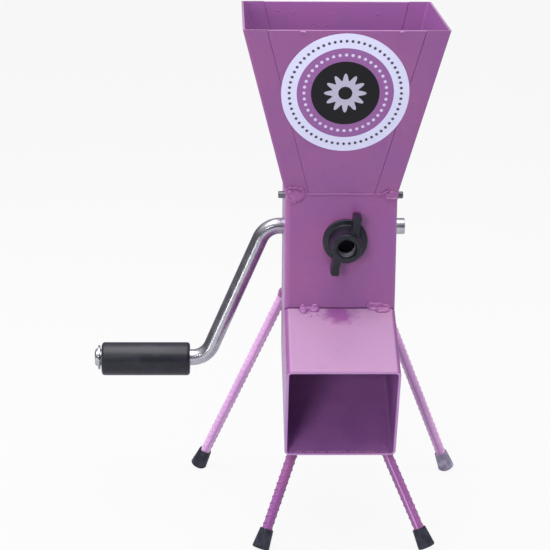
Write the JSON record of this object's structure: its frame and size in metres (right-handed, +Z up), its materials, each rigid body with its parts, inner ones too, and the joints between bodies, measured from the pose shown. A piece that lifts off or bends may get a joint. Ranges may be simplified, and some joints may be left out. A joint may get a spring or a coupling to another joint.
{
  "type": "crank nut cracker",
  "caption": "Hand-cranked nut cracker: tapered hopper on a square steel body with a sloping outlet, side crank, toothed drum, adjustable jaw and splayed bar legs.",
  "frame": {"origin": "middle of the whole object's box, at the height of the ground", "axes": "+Z up, +X to the right of someone facing the outlet, +Y away from them"},
  "size_m": [0.2808, 0.1864, 0.3736],
  "materials": {
    "violet_paint": "sprayed enamel, satin to glossy",
    "bright_steel": "bright drawn bar",
    "black_plastic": "moulded, low gloss",
    "foot_plastic": "moulded, matte",
    "grey_plastic": "moulded, matte",
    "sticker": "printed film",
    "bronze": "sintered, oiled",
    "dark_steel": "machined and oiled",
    "spring_steel": "drawn wire"
  },
  "bodies": {
    "frame": {"body_tube": "violet_paint", "chute_tube": "violet_paint", "hopper_front_plate": "violet_paint", "hopper_back_plate": "violet_paint", "hopper_left_side": "violet_paint", "hopper_right_side": "violet_paint", "hopper_label": "sticker", "corner_welds": "violet_paint", "leg_welds": "violet_paint", "front_left_leg": "violet_paint", "front_right_leg": "violet_paint", "rear_left_leg": "violet_paint", "rear_right_leg": "violet_paint", "front_left_foot": "foot_plastic", "front_right_foot": "foot_plastic", "rear_left_foot": "foot_plastic", "rear_right_foot": "grey_plastic", "left_shaft_bush": "bronze", "right_shaft_bush": "bronze", "left_thrust_washer": "bright_steel", "right_thrust_washer": "bright_steel", "jaw_hinge_pin": "bright_steel", "adjusting_spring": "spring_steel"},
    "crank": {"crank_bar": "bright_steel", "crack_drum": "dark_steel", "drum_pin": "bright_steel", "grip_washer": "bright_steel"},
    "grip": {"handle_grip": "black_plastic"},
    "jaw": {"jaw_plate": "dark_steel", "jaw_knuckle": "dark_steel"},
    "nut": {"wing_nut": "black_plastic", "wing_nut_insert": "bright_steel"},
    "stud": {"adjusting_stud": "bright_steel"}
  },
  "joints": [
    {"name": "crank_turn", "type": "hinge", "parent": "frame", "child": "crank", "pos_m": [0.04061, 0.02721, 0.2144], "axis": [1, 0, 0], "continuous": true},
    {"name": "grip_spin", "type": "hinge", "parent": "crank", "child": "grip", "pos_m": [-0.10189, 0.02721, 0.1105], "axis": [1, 0, 0], "continuous": true},
    {"name": "nut_turn", "type": "hinge", "parent": "frame", "child": "nut", "pos_m": [0.04351, -0.04079, 0.218], "axis": [0, 1, 0], "range_deg": [-665, 1495]},
    {"name": "stud_slide", "type": "slide", "parent": "frame", "child": "stud", "axis": [0, 1, 0], "range_m": [-0.00725, 0.0032], "deforming": ["adjusting_spring"]},
    {"name": "jaw_swing", "type": "hinge", "parent": "frame", "child": "jaw", "pos_m": [0.04061, -0.01479, 0.2483], "axis": [1, 0, 0], "range_deg": [-13.1, 5.9]}
  ],
  "couplings": [
    {"joint": "nut_turn", "follows": "stud_slide", "rad_per_m": -3590.4},
    {"joint": "jaw_swing", "follows": "stud_slide", "rad_per_m": 31.218}
  ]
}
